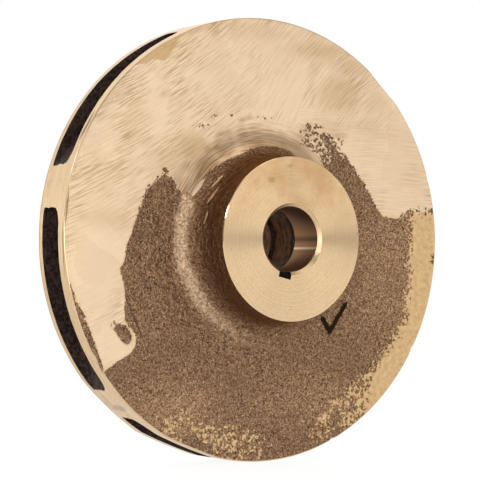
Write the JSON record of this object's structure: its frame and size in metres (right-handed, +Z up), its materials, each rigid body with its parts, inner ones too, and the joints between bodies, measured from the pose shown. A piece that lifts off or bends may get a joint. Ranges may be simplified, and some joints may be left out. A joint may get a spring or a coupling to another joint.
{
  "type": "pump impeller",
  "caption": "Closed centrifugal pump impeller: a bronze casting with a keyed hub, swept vanes between two shrouds, outlet slots in the rim and a suction eye.",
  "frame": {"origin": "on the surface that the rim stands on, under the middle of the casting", "axes": "+Y along the shaft axis towards the suction eye, so the hub faces -Y; +Z up"},
  "size_m": [0.1978, 0.0664, 0.1977],
  "materials": {
    "cast_bronze": "sand-cast bronze, partly ground and turned"
  },
  "bodies": {
    "root": {"impeller_casting": "cast_bronze"}
  },
  "joints": []
}
